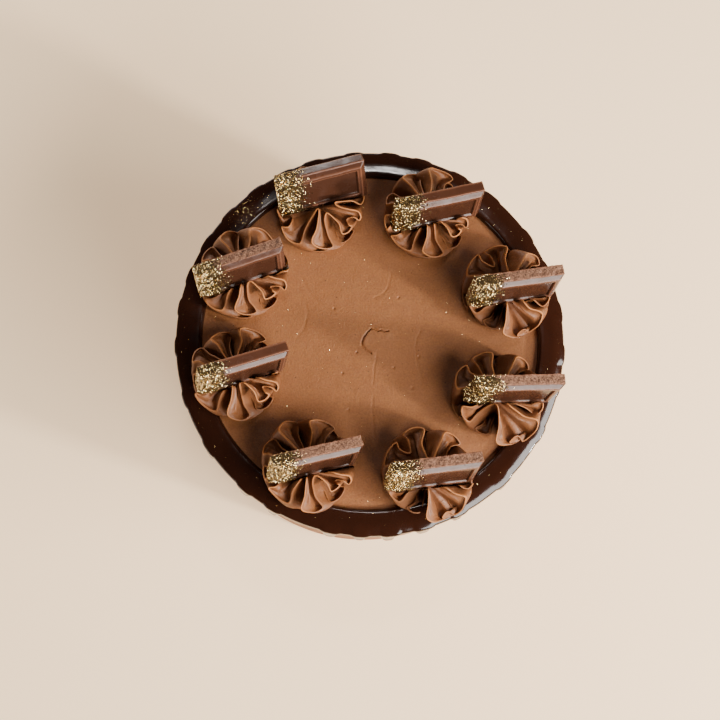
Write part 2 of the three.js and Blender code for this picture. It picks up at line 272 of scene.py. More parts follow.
# How deep light goes into buttercream, in metres.
CREAM_DEPTH = {"Subsurface_Radius": (1.0, 0.45, 0.2), "Subsurface_Scale": 0.0015}


def new_material(name, **settings):
    """A material, its nodes and its surface, with the surface's named values set."""
    material = bpy.data.materials.new(name)
    material.use_nodes = True
    tree = material.node_tree
    surface = tree.nodes["Principled BSDF"]
    wire(surface, **settings)
    return material, tree, surface


def wire(node, **settings):
    """The node's named sockets set or linked. In a name, _ stands for a space."""
    for name, value in settings.items():
        put(node.inputs[name.replace("_", " ")], value)


def put(socket, value):
    """A constant set on a socket, or another node's output linked to it."""
    if isinstance(value, bpy.types.NodeSocket):
        socket.id_data.links.new(value, socket)
    else:
        socket.default_value = value


def new_node(tree, kind, **settings):
    node = tree.nodes.new("ShaderNode" + kind)
    wire(node, **settings)
    return node


def noise_of(tree, size, detail=3, stretch=None):
    """Noise with features of about this size in millimetres."""
    place = new_node(tree, "TexCoord").outputs["Object"]
    if stretch:
        place = new_node(tree, "Mapping", Vector=place, Scale=stretch).outputs["Vector"]
    texture = new_node(tree, "TexNoise", Vector=place, Scale=1 / (size * MM), Detail=detail)
    return texture.outputs["Fac"]


def mark_of(tree, name):
    """The value with this name that a mesh has at its points."""
    node = new_node(tree, "Attribute")
    node.attribute_name = name
    return node.outputs["Fac"]


def spread(tree, value, low, high, to_low=0.0, to_high=1.0):
    """A value moved from one range to another and kept inside it."""
    node = new_node(tree, "MapRange")
    node.interpolation_type = "SMOOTHSTEP"
    wire(node, Value=value, From_Min=low, From_Max=high, To_Min=to_low, To_Max=to_high)
    return node.outputs["Result"]


def arithmetic(tree, operation, first, second):
    node = new_node(tree, "Math")
    node.operation = operation
    put(node.inputs[0], first)
    put(node.inputs[1], second)
    return node.outputs[0]


def blend(tree, factor, first, second):
    """One colour turning into another."""
    node = new_node(tree, "Mix")
    node.data_type = "RGBA"
    put(node.inputs[0], factor)
    put(node.inputs[6], first)
    put(node.inputs[7], second)
    return node.outputs[2]


def relief(tree, *layers):
    """The surface's normal, with reliefs over each other, each a height and its depth in mm."""
    normal = None
    for height, depth in layers:
        node = new_node(tree, "Bump", Strength=1.0, Distance=depth * MM, Height=height)
        if normal is not None:
            wire(node, Normal=normal)
        normal = node.outputs["Normal"]
    return normal


def buttercream_material():
    """Smoothed chocolate buttercream: faint mottling, a fine grain and a few dark cocoa specks."""
    material, tree, surface = new_material(
        "smoothed_buttercream", Specular_IOR_Level=0.35, Subsurface_Weight=0.12, **CREAM_DEPTH
    )
    mottled = blend(tree, noise_of(tree, 14, 4), srgb(136, 85, 46), srgb(150, 96, 53))
    grain = spread(tree, noise_of(tree, 0.7), 0.3, 0.7)
    streaks = spread(tree, noise_of(tree, 3, stretch=(0.35, 1.6, 1.0)), 0.35, 0.65)
    streaked = blend(tree, streaks, mottled, srgb(140, 88, 50))
    grained = blend(tree, arithmetic(tree, "MULTIPLY", grain, 0.7), streaked, srgb(122, 74, 41))
    specks = spread(tree, noise_of(tree, 1.1, 1), 0.74, 0.78)
    coloured = blend(tree, specks, grained, srgb(74, 42, 24))
    dull = spread(tree, noise_of(tree, 9), 0.3, 0.7, 0.5, 0.66)
    normal = relief(tree, (noise_of(tree, 0.7), 0.14), (noise_of(tree, 4), 0.2))
    wire(surface, Base_Color=coloured, Roughness=dull, Normal=normal)
    return material


def rosette_material():
    """Piped buttercream: fine flow lines, small pores, a satin sheen, and thin crests painted paler, a
    painted highlight for light shining through and catching them.
    """
    material, tree, surface = new_material(
        "piped_buttercream", Specular_IOR_Level=0.32, Subsurface_Weight=0.06, **CREAM_DEPTH
    )
    mottled = blend(tree, noise_of(tree, 5), srgb(108, 65, 36), srgb(130, 81, 48))
    # The crest mark paints the thin crests paler: a painted highlight, not a colour of the cream.
    lit_crests = blend(tree, mark_of(tree, "crest"), mottled, srgb(176, 112, 62))
    satin = spread(tree, noise_of(tree, 2.5), 0.3, 0.7, 0.38, 0.6)
    flow = noise_of(tree, 0.6, stretch=(1.0, 1.0, 3.0))
    pores = spread(tree, noise_of(tree, 1.0, 1), 0.2, 0.3)
    normal = relief(tree, (flow, 0.14), (pores, 0.3), (noise_of(tree, 2.2, 4), 0.26))
    wire(surface, Base_Color=lit_crests, Roughness=satin, Normal=normal)
    return material


def ganache_material():
    """Set dark ganache: nearly black, glossy, with a faint grain where it has begun to bloom."""
    material, tree, surface = new_material("set_ganache", Specular_IOR_Level=0.38)
    coloured = blend(tree, noise_of(tree, 11), srgb(34, 15, 8), srgb(48, 23, 13))
    glossy = spread(tree, noise_of(tree, 7), 0.3, 0.75, 0.08, 0.15)
    normal = relief(tree, (noise_of(tree, 0.5, 2), 0.008), (noise_of(tree, 9, 1), 0.12))
    wire(surface, Base_Color=coloured, Roughness=glossy, Normal=normal)
    return material


def chocolate_material():
    """Moulded milk chocolate: satin, with painted shade in the sunk panel, painted highlights on thin
    edges, gold where dusted.
    """
    material, tree, surface = new_material("moulded_chocolate", Specular_IOR_Level=0.28)
    plain = blend(tree, noise_of(tree, 6), srgb(66, 38, 26), srgb(78, 47, 33))
    crumbling = spread(tree, noise_of(tree, 0.6), 0.35, 0.65)
    crumbs = blend(tree, crumbling, srgb(78, 48, 33), srgb(142, 102, 78))
    break_mark = mark_of(tree, "broken")
    broken = blend(tree, break_mark, plain, crumbs)
    # Painted shade: the sunk panel is painted darker, for the shade in its recess.
    panel_shaded = blend(tree, mark_of(tree, "panel"), broken, srgb(50, 28, 18))
    # Painted highlights: thin pale lines on the outer edges and the frame's rims.
    edges_highlighted = blend(tree, mark_of(tree, "edge"), panel_shaded, srgb(150, 98, 72))
    ragged = arithmetic(tree, "MULTIPLY", arithmetic(tree, "SUBTRACT", noise_of(tree, 0.8, 4), 0.5), 2.0)
    dusted = arithmetic(tree, "ADD", mark_of(tree, "dust"), ragged)
    dust = spread(tree, dusted, 0.42, 0.62)
    gold = blend(tree, noise_of(tree, 0.5, 2), srgb(28, 20, 9), srgb(80, 58, 22))
    gilded = blend(tree, dust, edges_highlighted, gold)
    metallic = spread(tree, dust, 0.0, 1.0, 0.0, 0.6)
    satin = spread(tree, noise_of(tree, 4, 2), 0.3, 0.7, 0.2, 0.3)
    matt = arithmetic(tree, "MAXIMUM", satin, arithmetic(tree, "MULTIPLY", break_mark, 0.62))
    gritty = arithmetic(tree, "MAXIMUM", dust, break_mark)
    grit = arithmetic(tree, "MULTIPLY", noise_of(tree, 0.45), gritty)
    normal = relief(tree, (grit, 0.35), (noise_of(tree, 3, 2), 0.05))
    wire(surface, Base_Color=gilded, Metallic=metallic, Roughness=matt, Normal=normal)
    return material


def gold_material():
    """Polished gold, deeper in colour on some flakes than on others."""
    material, tree, surface = new_material("gold_flakes", Metallic=1.0)
    coloured = blend(tree, noise_of(tree, 1.2, 1), srgb(236, 196, 108), srgb(255, 240, 196))
    polish = spread(tree, noise_of(tree, 0.6, 1), 0.3, 0.7, 0.12, 0.25)
    wire(surface, Base_Color=coloured, Roughness=polish)
    return material


def floor_material():
    """A plain pale surface that glows a little."""
    material, tree, surface = new_material("pale_floor", Specular_IOR_Level=0.1, Roughness=0.8)
    soft = blend(tree, noise_of(tree, 300, 2), srgb(250, 216, 172), srgb(252, 222, 182))
    glow = (1.0, 0.72, 0.45, 1.0)
    wire(surface, Base_Color=soft, Emission_Color=glow, Emission_Strength=0.5)
    return material


# ---- cake ----

CAKE_SEGMENTS = 480
WALL_RINGS = 50
# Inside this radius, where the crack is, the rings lie closer together.
FINE_TOP_RADIUS = 30.0
OUTER_TOP_RINGS = 54
INNER_TOP_RINGS = 92
FINE_RING_GAP = 0.3
CORNER_INSET = 0.35
# How far up the wall is fully uneven.
FOOT_FADE = 4
# How uneven the top and the wall are, over what distance, and the scraper's level marks.
TOP_UNEVENNESS = 0.16
TOP_WAVE = 26
WALL_UNEVENNESS = 0.35
WALL_WAVE = 34
SCRAPER_DEPTH = 0.1
SCRAPER_MARK = 2.2
SCRAPER_STRETCH = (0.08, 0.08, 1.0)
# A crack in the smoothed top, whose inner side is lifted a little.
CRACK = [
    (0.4, -5.1), (-1.6, -3.7), (-3.4, -2.1), (-3.5, -0.6), (-2.7, 1.5), (-1.3, 3.5),
    (0.4, 5.2), (1.9, 4.9), (3.3, 4.1), (4.4, 4.5), (5.7, 3.9), (7.3, 4.2),
]
CRACK_CENTRE = (3.4, -0.4)
CRACK_LIFT = 0.35
CRACK_LIFT_RADII = (7.2, 5.2)
CRACK_LIFT_WIDTH = 2.4
CRACK_DEPTH = 0.7
CRACK_WIDTH = 0.28
# Faint lines that the spreading knife left in the top.
KNIFE_LINES = [
    [(-28.0, 25.8), (-24.0, 18.7), (-19.0, 14.3), (-14.0, 11.2)],
    [(8.5, 27.8), (7.4, 22.7), (5.3, 19.5), (1.6, 17.8)],
    [(20.4, 4.4), (18.9, 1.2), (18.2, -2.8), (18.5, -6.8), (19.7, -11.1), (20.7, -14.5), (20.8, -17.7)],
    [(2.4, -5.1), (2.4, -7.4), (1.8, -9.4), (1.4, -11.7), (1.4, -14.3), (1.0, -17.7)],
    [(1.0, -23.1), (0.8, -28.8), (1.5, -38.6)],
    [(-26.4, 16.2), (-25.4, 11.1), (-27.0, 4.8), (-30.0, 1.1)],
]
KNIFE_DEPTH = 0.12
KNIFE_WIDTH = 0.45
# Burst air bubbles in the top.
PITS = [
    (3.5, 34.5), (11.5, 17.9), (-14.7, 13.3), (-32.8, -13.9), (9.5, -10.9), (16.9, -19.1),
    (19.6, -6.5), (-8.9, -28.0), (-11.3, -13.2), (-5.5, -4.6), (29.4, -12.5), (23.7, -23.7),
]
PIT_RADIUS = 0.38
PIT_DEPTH = 0.5


def wall_radius(z):
    """The wall's radius at this height."""
    return mix(CAKE_BASE_RADIUS, CAKE_TOP_RADIUS, z / CAKE_HEIGHT)


def top_relief(flat):
    """Height of the top's small unevenness at points of the plane."""
    height = TOP_UNEVENNESS * bumps(np.c_[flat, np.zeros(len(flat))], TOP_WAVE, 1)
    crack = distance_to_line(flat, CRACK)
    middle = lengths(flat - CRACK_CENTRE)
    inside = smooth_step(*CRACK_LIFT_RADII, middle) * smooth_step(0.0, 0.25, crack)
    height += CRACK_LIFT * inside * np.exp(-crack / CRACK_LIFT_WIDTH)
    height -= CRACK_DEPTH * np.exp(-(crack / CRACK_WIDTH) ** 2)
    for line in KNIFE_LINES:
        height -= KNIFE_DEPTH * np.exp(-(distance_to_line(flat, line) / KNIFE_WIDTH) ** 2)
    for pit in PITS:
        from_pit = lengths(flat - pit)
        height -= PIT_DEPTH * np.exp(-(from_pit / PIT_RADIUS) ** 2)
    return height


def wall_relief(points):
    """How far the wall stands out or in at points on it."""
    level_marks = SCRAPER_DEPTH * bumps(points * SCRAPER_STRETCH, SCRAPER_MARK, 2)
    return level_marks + WALL_UNEVENNESS * bumps(points, WALL_WAVE, 3)


def cake_profile():
    """Radius and height of each ring, out along the base, up the wall, and in across the top."""
    shoulder = CAKE_HEIGHT - EDGE_ROUNDING
    base = [(radius, 0.0) for radius in (26, 52, CAKE_BASE_RADIUS - EDGE_ROUNDING)]
    foot = [(CAKE_BASE_RADIUS - CORNER_INSET, CORNER_INSET)]
    wall = [(wall_radius(z), z) for z in np.linspace(EDGE_ROUNDING, shoulder, WALL_RINGS)]
    brim = [(CAKE_TOP_RADIUS - CORNER_INSET, CAKE_HEIGHT - CORNER_INSET)]
    outer = np.linspace(CAKE_TOP_RADIUS - EDGE_ROUNDING, FINE_TOP_RADIUS, OUTER_TOP_RINGS)
    inner = np.linspace(FINE_TOP_RADIUS - FINE_RING_GAP, FINE_RING_GAP, INNER_TOP_RINGS)
    outer_top = [(radius, CAKE_HEIGHT) for radius in outer]
    inner_top = [(radius, CAKE_HEIGHT) for radius in inner]
    return np.array(base + foot + wall + brim + outer_top + inner_top)


def build_cake(material):
    """The cake's coat, from the middle of its base to the middle of its top."""
    profile = cake_profile()
    turn = np.linspace(0, 2 * math.pi, CAKE_SEGMENTS, endpoint=False)
    flat = on_circle(profile[:, 0, None], turn[None]).reshape(-1, 2)
    points = np.c_[flat, np.repeat(profile[:, 1], CAKE_SEGMENTS)]
    radius = lengths(points[:, :2])
    on_top = (points[:, 2] == CAKE_HEIGHT) & (radius < RING_INNER_RADIUS)
    fade = smooth_step(RING_INNER_RADIUS, RING_INNER_RADIUS - 3, radius[on_top])
    points[on_top, 2] += top_relief(points[on_top, :2]) * fade
    on_wall = (points[:, 2] > 0) & (points[:, 2] < CAKE_HEIGHT - EDGE_ROUNDING + 0.01)
    wall = points[on_wall]
    growth = wall_relief(wall) / radius[on_wall] * smooth_step(0, FOOT_FADE, wall[:, 2])
    points[on_wall, :2] *= 1 + growth[:, None]
    rings = points.reshape(len(profile), CAKE_SEGMENTS, 3)
    top = (0, 0, CAKE_HEIGHT + float(top_relief(np.zeros((1, 2)))[0]))
    points, faces = ring_body(rings, (0, 0, 0), top)
    return add_piece("cake_coat", points, faces, material, ["cake_body"])


# ---- ganache ring ----

RING_SEGMENTS = 840
# The ring's inner toe, the slope of its top, its rounded edge, and what overhang the film leaves.
TOE_DEPTH = 0.4
SLOPE_FALL = 1.25
SLOPE_CURVE = 1.7
EDGE_FALL = 2.2
EDGE_WIDTH = 0.7
OVERHANG = 0.18
# A drip, with its neck and its wider, thicker end as shares, and the flare where it leaves the ring.
DRIP_THICKNESS = 2.7
DRIP_FLATNESS = 1.35
DRIP_NECK = 0.86
DRIP_END_WIDER = 0.16
DRIP_THIN_PART = 0.82
DRIP_END_THICKER = 0.25
FLARE_WIDTH = 2.4
FLARE_LENGTH = 2.6
# The skirt between the drips. Its border's waves have a height, a number round the cake and a start.
SKIRT_THICKNESS = 1.0
SKIRT_REACH = 3.0
SKIRT_WAVES = [(0.8, 23, 1.0), (0.6, 41, 0.0)]
# How deep in the wall the film's sheet lies where there is no ganache.
UNDERCUT = 0.8
# The brim's mean overhang, and how much of the drips' unevenness shows in its outline.
EVEN_BRIM = 1.9
BRIM_WAVE = 0.5
# The rows down the wall. The upper ones lie closer together.
LOWEST_DRIP = 40.0
FINE_DOWN_TO = 9.0
FINE_ROWS = 14
COARSE_ROWS = 48
RING_UNEVENNESS = 0.1


def drips():
    """Angle, half width and length of each drip, as the solids have them."""
    random = seeded_random(DRIP_SEED)
    found = []
    for angle in DRIP_ANGLES:
        length = mix(DRIP_SHORTEST, DRIP_LONGEST, next(random) ** DRIP_SHORT_ONES)
        width = DRIP_HALF_WIDTH * mix(1 - DRIP_WIDTH_SPREAD, 1 + DRIP_WIDTH_SPREAD, next(random))
        found.append((math.radians(angle), width, length))
    return found


def round_profile(depth_inside, reach):
    """Thickness, as a part of the full one, at this depth inside a rounded border."""
    part = np.clip(depth_inside / reach, 0, 1)
    return np.sqrt(np.clip(1 - (1 - part) ** 2, 0, 1))


def film_thickness(turn, down):
    """How far the ganache stands out of the wall, this far down from the top. Below 0 it is inside."""
    skirt_end = RING_FALL
    for height, count, start in SKIRT_WAVES:
        skirt_end = skirt_end + height * np.sin(turn * count + start)
    edge = skirt_end - down
    thickness = SKIRT_THICKNESS * round_profile(edge, SKIRT_REACH)
    for angle, width, length in drips():
        aside = (np.mod(turn - angle + math.pi, 2 * math.pi) - math.pi) * CAKE_TOP_RADIUS
        neck = width * (DRIP_NECK + DRIP_END_WIDER * smooth_step(0.45, 1.0, down / length))
        flare = FLARE_WIDTH * np.exp(-np.clip(down, 0, None) / FLARE_LENGTH)
        below = np.clip(down - (length - width), 0, None)
        inside = neck + flare - np.hypot(aside, below)
        end_part = smooth_step(length - 3 * width, length - width, down)
        swell = DRIP_THICKNESS * (DRIP_THIN_PART + DRIP_END_THICKER * end_part)
        drip = swell * round_profile(inside, (neck + flare) / DRIP_FLATNESS)
        thickness = np.maximum(thickness, drip)
        edge = np.maximum(edge, inside)
    thickness = mix(mix(EVEN_BRIM, thickness, BRIM_WAVE), thickness, smooth_step(0.5, 6, down))
    return np.where(edge > 0, thickness, -np.clip(-edge, 0, 1) * UNDERCUT)


def ring_top(outer):
    """Radius and height of the ring's rows from its inner toe to its outer shoulder."""
    top = CAKE_HEIGHT + RING_THICKNESS
    step_end = RING_INNER_RADIUS + RING_STEP_WIDTH
    flat_end = step_end + RING_FLAT_WIDTH
    rows = []
    for angle in np.linspace(0, math.pi / 2, 8):
        radius = RING_INNER_RADIUS + RING_STEP_WIDTH * (1 - math.cos(angle)) ** 1.2
        rows.append((radius, mix(CAKE_HEIGHT - TOE_DEPTH, top, math.sin(angle))))
    for part in (0.35, 0.7):
        rows.append((mix(step_end, flat_end, part), top))
    for part in np.linspace(0, 1, 9):
        rows.append((mix(flat_end, outer - EDGE_WIDTH, part), top - SLOPE_FALL * part ** SLOPE_CURVE))
    for angle in np.linspace(0.25, 1, 5) * math.pi / 2:
        radius = outer - EDGE_WIDTH * (1 - math.sin(angle))
        rows.append((radius, top - SLOPE_FALL - EDGE_FALL * (1 - math.cos(angle))))
    return rows


def film_rows(turn, first_down):
    """Radius and height of the rows down the wall, over the skirt and the drips."""
    fine = np.linspace(first_down, FINE_DOWN_TO, FINE_ROWS)
    coarse = np.linspace(FINE_DOWN_TO + 0.6, LOWEST_DRIP, COARSE_ROWS)
    down = np.concatenate([fine, coarse])[:, None]
    film = film_thickness(turn[None], down)
    height = np.broadcast_to(CAKE_HEIGHT - down, film.shape)
    return np.stack([wall_radius(height) + film, height], axis=-1)


def inner_rows():
    """The rows that shut the ring inside the cake, from the bottom up."""
    lowest = CAKE_HEIGHT - LOWEST_DRIP
    corners = [
        (wall_radius(lowest) - 2, lowest),
        (CAKE_TOP_RADIUS - 3, CAKE_HEIGHT - 3),
        (RING_INNER_RADIUS + 1, CAKE_HEIGHT - 1.2),
    ]
    return np.repeat(np.array(corners)[:, None, :], RING_SEGMENTS, axis=1)


def build_ganache(material):
    """The ring and its drips, as one closed body."""
    turn = np.linspace(0, 2 * math.pi, RING_SEGMENTS, endpoint=False)
    edge_down = SLOPE_FALL + EDGE_FALL - RING_THICKNESS
    film = film_thickness(turn, edge_down)
    outer = wall_radius(CAKE_HEIGHT - edge_down) + OVERHANG + film
    top = np.swapaxes(np.array([ring_top(radius) for radius in outer]), 0, 1)
    section = np.concatenate([top, film_rows(turn, edge_down + 0.4), inner_rows()], axis=0)
    radius, height = section[..., 0], section[..., 1]
    points = np.c_[on_circle(radius, turn[None]).reshape(-1, 2), height.ravel()]
    points[:, 2] += RING_UNEVENNESS * bumps(points, 13, 5) * (points[:, 2] > CAKE_HEIGHT + 1)
    faces = outward(points, band_faces(len(section), RING_SEGMENTS, around=True).tolist())
    return add_piece("ganache_glaze", points, faces, material, ["ganache_ring"])


# ---- rosettes ----

# Steps between two corners of a line, and its rows outside the crest and inside.
SPAN_STEPS = 7
OUTER_ROWS = 15
INNER_ROWS = 10
# The ribbon's crest, how far down it carries its painted highlight, and its rounding: shares of the way
# across, heights.
WALL_AT_CREST = 0.5
CREST_HEIGHT = 0.45
CREST_ROUNDING = ((0.1, 0.12), (0.35, 0.2), (0.65, 0.2), (0.9, 0.12))
# Where the crest falls this low its painted highlight keeps only this share, as painted shade on the low
# crests.
LOW_CREST = -3.5
LOW_CREST_LIGHT = 0.3
# The low tier of ribbon, in shares of the tall one's reach and of its crests' painted highlight, which
# is dimmer here as painted shade.
TIER_HEIGHT = 4.5
TIER_REACH = 0.98
TIER_TURN = 20.0
TIER_CREST_LIGHT = 0.25
# How far the ribbons stay below the piece in them, and how low it presses them.
PRESS_GAP = 0.3
LEAST_HEIGHT = 3.0
# How uneven the ribbons are, and from what height on.
WOBBLE_WAVE = 7
WOBBLE = (0.7, 0.7, 0.9)
WOBBLE_WHOLE_FROM = 5


def folds_of(index):
    """A rosette's folds, each a little off the common ones, as the solids have them."""
    random = seeded_random(ROSETTE_SEED + index)
    turn, table = ROSETTE_PLACES[index][2:]
    folds = []
    for direction, width, reach, bend, groove, fall in table:
        off, stretch, crest = (mix(*ends, next(random)) for ends in FOLD_SPREAD.values())
        folds.append((direction + off + turn, width, reach * stretch, bend, groove, fall, crest))
    return folds


def fold_corners(folds, pinch=0.0):
    """The points a line of folds goes through: direction, distance from the centre, and lift."""
    corners = []
    for before, fold, after in zip(folds[-1:] + folds[:-1], folds, folds[1:] + folds[:1]):
        direction, width, reach, bend, groove, fall, crest = fold
        for along, aside in FOLD_POINTS:
            start = before[4] if aside < 0 else groove
            distance = mix(start, reach, along) - HOLLOW_SLOPE * pinch * along ** 2
            lift = crest - (abs(fall) + fall * aside) / 2
            turned = direction + bend * (1 - along) + width * (1 - pinch) * aside
            corners.append((turned, distance, lift))
        end = direction + width * aside
        gap = (after[0] - after[1] * aside - end) % 360
        shallow = min(1.0, groove / SHALLOW_GROOVE) ** 3
        corners.append((end + gap / 2, groove, (crest + after[6]) / 2 - GROOVE_FALL * shallow))
    return np.array(corners)


def smooth_loop(points):
    """A closed smooth curve through points, with steps between each two of them."""
    before, start, end, after = (np.roll(points, shift, axis=0) for shift in (1, 0, -1, -2))
    t = np.arange(SPAN_STEPS)[:, None, None] / SPAN_STEPS
    knots = [np.zeros(len(points))]
    for a, b in ((before, start), (start, end), (end, after)):
        knots.append(knots[-1] + np.sqrt(lengths((b - a)[:, :2])))
    t0, t1, t2, t3 = (knot[None, :, None] for knot in knots)
    at = t1 + (t2 - t1) * t
    first = (before * (t1 - at) + start * (at - t0)) / (t1 - t0)
    second = (start * (t2 - at) + end * (at - t1)) / (t2 - t1)
    third = (end * (t3 - at) + after * (at - t2)) / (t3 - t2)
    left = (first * (t2 - at) + second * (at - t0)) / (t2 - t0)
    right = (second * (t3 - at) + third * (at - t1)) / (t3 - t1)
    curve = (left * (t2 - at) + right * (at - t1)) / (t2 - t1)
    return curve.transpose(1, 0, 2).reshape(-1, points.shape[1])


def level_value(key, height):
    """A row of the levels, read at a height between them."""
    return float(curve_through(FOLD_LEVELS["height"], FOLD_LEVELS[key], height))


def fold_line(folds, height, reach_by=1.0, turn_by=0.0, pinch=0.0):
    """The closed line that the folds follow at this height: x, y and lift."""
    level = {key: level_value(key, height) for key in FOLD_LEVELS}
    corners = fold_corners(folds, pinch)
    corners[:, 2] *= level["lift"]
    distance = mix(level["foot"], corners[:, 1], level["drawn"]) * reach_by
    direction = np.radians(corners[:, 0] + level["turned"] + turn_by)
    return smooth_loop(np.c_[on_circle(distance, direction), corners[:, 2]])


def moved_in(line, distance):
    """A closed line moved sideways into the rosette."""
    along = np.roll(line, -1, axis=0)[:, :2] - np.roll(line, 1, axis=0)[:, :2]
    along /= lengths(along)[:, None]
    inward = np.stack([-along[:, 1], along[:, 0], np.zeros(len(line))], axis=-1)
    return line + inward * distance


def raised(line, height, lift=0.0):
    """A line lifted to its height. It droops towards the end of each fold."""
    droop = max(0.0, level_value("droop", height))
    outwards = lengths(line[:, :2]) / ROSETTE_RADIUS
    z = height + lift - droop * outwards ** 2 + line[:, 2]
    return np.c_[line[:, :2], np.maximum(z, min(height, LEAST_RIM))]


def ruffle(folds, top, reach_by=1.0, turn_by=0.0):
    """A folded wall from the cake's top up to its thin crest, and the shallow hollows inside it."""
    rings, crest_light_marks = [], []
    for height in np.linspace(0, top, OUTER_ROWS):
        rings.append(raised(fold_line(folds, height, reach_by, turn_by), height))
        crest_light_marks.append(smooth_step(top - CREST_HEIGHT, top, height))
    crest_line = fold_line(folds, top, reach_by, turn_by)
    for inset, lift in CREST_ROUNDING:
        rings.append(raised(moved_in(crest_line, WALL_AT_CREST * inset), top, lift))
        crest_light_marks.append(1.0)
    for angle in np.linspace(0, math.pi / 2, INNER_ROWS):
        line = fold_line(folds, top, reach_by, turn_by, HOLLOW_PINCH * (1 - math.cos(angle)))
        depth = HOLLOW_DEPTH * math.sin(angle)
        rings.append(raised(moved_in(line, WALL_AT_CREST), top, -depth))
        crest_light_marks.append(smooth_step(CREST_HEIGHT, 0, depth))
    # Painted shade: the crests' painted highlight fades where they fall low.
    crest_light = mix(LOW_CREST_LIGHT, 1.0, smooth_step(LOW_CREST, 0.0, crest_line[:, 2]))
    marks = (np.array(crest_light_marks)[:, None] * crest_light[None]).ravel()
    points, faces = ring_body(rings, (0, 0, 0), (0, 0, top - HOLLOW_DEPTH))
    return points, faces, np.append(marks, [0.0, 0.0])


def pressed_down(points, index):
    """A rosette's points pushed below the chocolate piece in it, and below its face."""
    place = PIECE_PLACES[index]
    turn = piece_turn(place)
    origin = np.array((place[0], place[1], CAKE_HEIGHT + PIECE_SUNK_TO))
    local = (points - origin) @ turn.T
    before = -PIECE_THICKNESS / 2 - local[:, 1]
    room = np.where(before > 0, before / math.tan(math.radians(place[3])), 0.0)
    room += 3 * np.clip(np.abs(local[:, 0]) - PIECE_LENGTH / 2, 0, None)
    limit = np.where(before > -PIECE_THICKNESS - PRESS_GAP, room - PRESS_GAP, np.inf)
    local[:, 2] = np.minimum(local[:, 2], np.maximum(limit, LEAST_HEIGHT - PIECE_SUNK_TO))
    return local @ turn + origin


def build_rosette(index, material):
    """A rosette's tall ruffle and the low tier round it."""
    x, y = ROSETTE_PLACES[index][:2]
    folds = folds_of(index)
    tall, tall_faces, tall_crest_light = ruffle(folds, ROSETTE_HEIGHT)
    tier, tier_faces, tier_crest_light = ruffle(folds, TIER_HEIGHT, TIER_REACH, TIER_TURN)
    points = np.vstack([tall, tier])
    faces = tall_faces + [[corner + len(tall) for corner in face] for face in tier_faces]
    free = smooth_step(0, WOBBLE_WHOLE_FROM, points[:, 2])[:, None]
    points = points + bumps_each_way(points, WOBBLE_WAVE, 10 * index) * free * WOBBLE
    points = pressed_down(points + (x, y, CAKE_HEIGHT), index)
    # The crest mark is a painted highlight on the thin crests, dimmer on the low tier as painted shade.
    marks = {"crest": np.concatenate([tall_crest_light, tier_crest_light * TIER_CREST_LIGHT])}
    name = f"rosette_ruffle_{index + 1}"
    return add_piece(name, points, faces, material, [f"rosette_{index + 1}"], marks)


# ---- moulded chocolate pieces ----

LONG_STEPS = 64
SHORT_STEPS = 32
# The narrow step between a piece's side and its bevel, its edges, and the gap between its rings.
LEDGE = 0.45
PIECE_ROUNDING = 0.32
PATH_STEP = 0.7
# Where a piece's side turns into its bevel, for its marks and its gold.
SILL = -PIECE_THICKNESS / 2 + PIECE_BEVEL - 0.2
# A break, with the size, the seed and the share of each of its bumps.
BROKEN_RELIEF = 0.55
BROKEN_LOSS = 0.25
BROKEN_BUMPS = [(1.3, 20, 0.7), (0.6, 21, 0.5), (5, 22, 0.5)]
MOULD_UNEVENNESS = 0.12
# The gold dust starts at this place along the piece, and is whole so much further to the left.
DUST_END = -2.0
DUST_FADE = 13.0
DUST_WANDER = 2.2
# Painted highlights on the rims of the frame and on the outer edges: the rims' width, and how pale each
# is painted.
FRAME_EDGE_WIDTH = 0.5
FRAME_RIM_HIGHLIGHT = 0.35
OUTER_EDGE_HIGHLIGHT = 0.6


def rounded(corners, radius):
    """A path through corners, each inner one turned into a short curve."""
    corners = [np.array(corner, float) for corner in corners]
    path = [corners[0]]
    for before, corner, after in zip(corners, corners[1:], corners[2:]):
        to_start, to_end = before - corner, after - corner
        start = corner + to_start * min(0.5, radius / np.linalg.norm(to_start))
        end = corner + to_end * min(0.5, radius / np.linalg.norm(to_end))
        for t in np.linspace(0, 1, 4):
            path.append((1 - t) ** 2 * start + 2 * t * (1 - t) * corner + t * t * end)
    return path + [corners[-1]]


def between(path, step):
    """The path with points no further than a step apart."""
    full = [path[0]]
    for start, end in zip(path, path[1:]):
        count = max(1, math.ceil(np.linalg.norm(end - start) / step))
        full += [mix(start, end, (k + 1) / count) for k in range(count)]
    return full


def piece_path():
    """From the back's middle to the panel's: inset from the left, right and long edges, and depth."""
    back, front = PIECE_THICKNESS / 2, -PIECE_THICKNESS / 2
    middle = PIECE_HEIGHT / 2 - 0.4
    sill = front + PIECE_BEVEL
    left, right, edge = PIECE_LEFT_BEVEL, PIECE_RIGHT_BEVEL, PIECE_BEVEL
    panel = PIECE_FRAME + PIECE_RECESS_SLOPE
    corners = [
        (middle, middle, middle, back),
        (0, 0, 0, back),
        (0, 0, 0, sill),
        (LEDGE, LEDGE * 0.5, LEDGE, sill - 0.1),
        (left, right, edge + 0.1, front),
        (left + PIECE_FRAME, right + PIECE_FRAME, edge + PIECE_FRAME, front),
        (left + panel, right + panel, edge + panel, front + PIECE_RECESS),
        (middle, middle, middle, front + PIECE_RECESS),
    ]
    return between(rounded(corners, PIECE_ROUNDING), PATH_STEP)


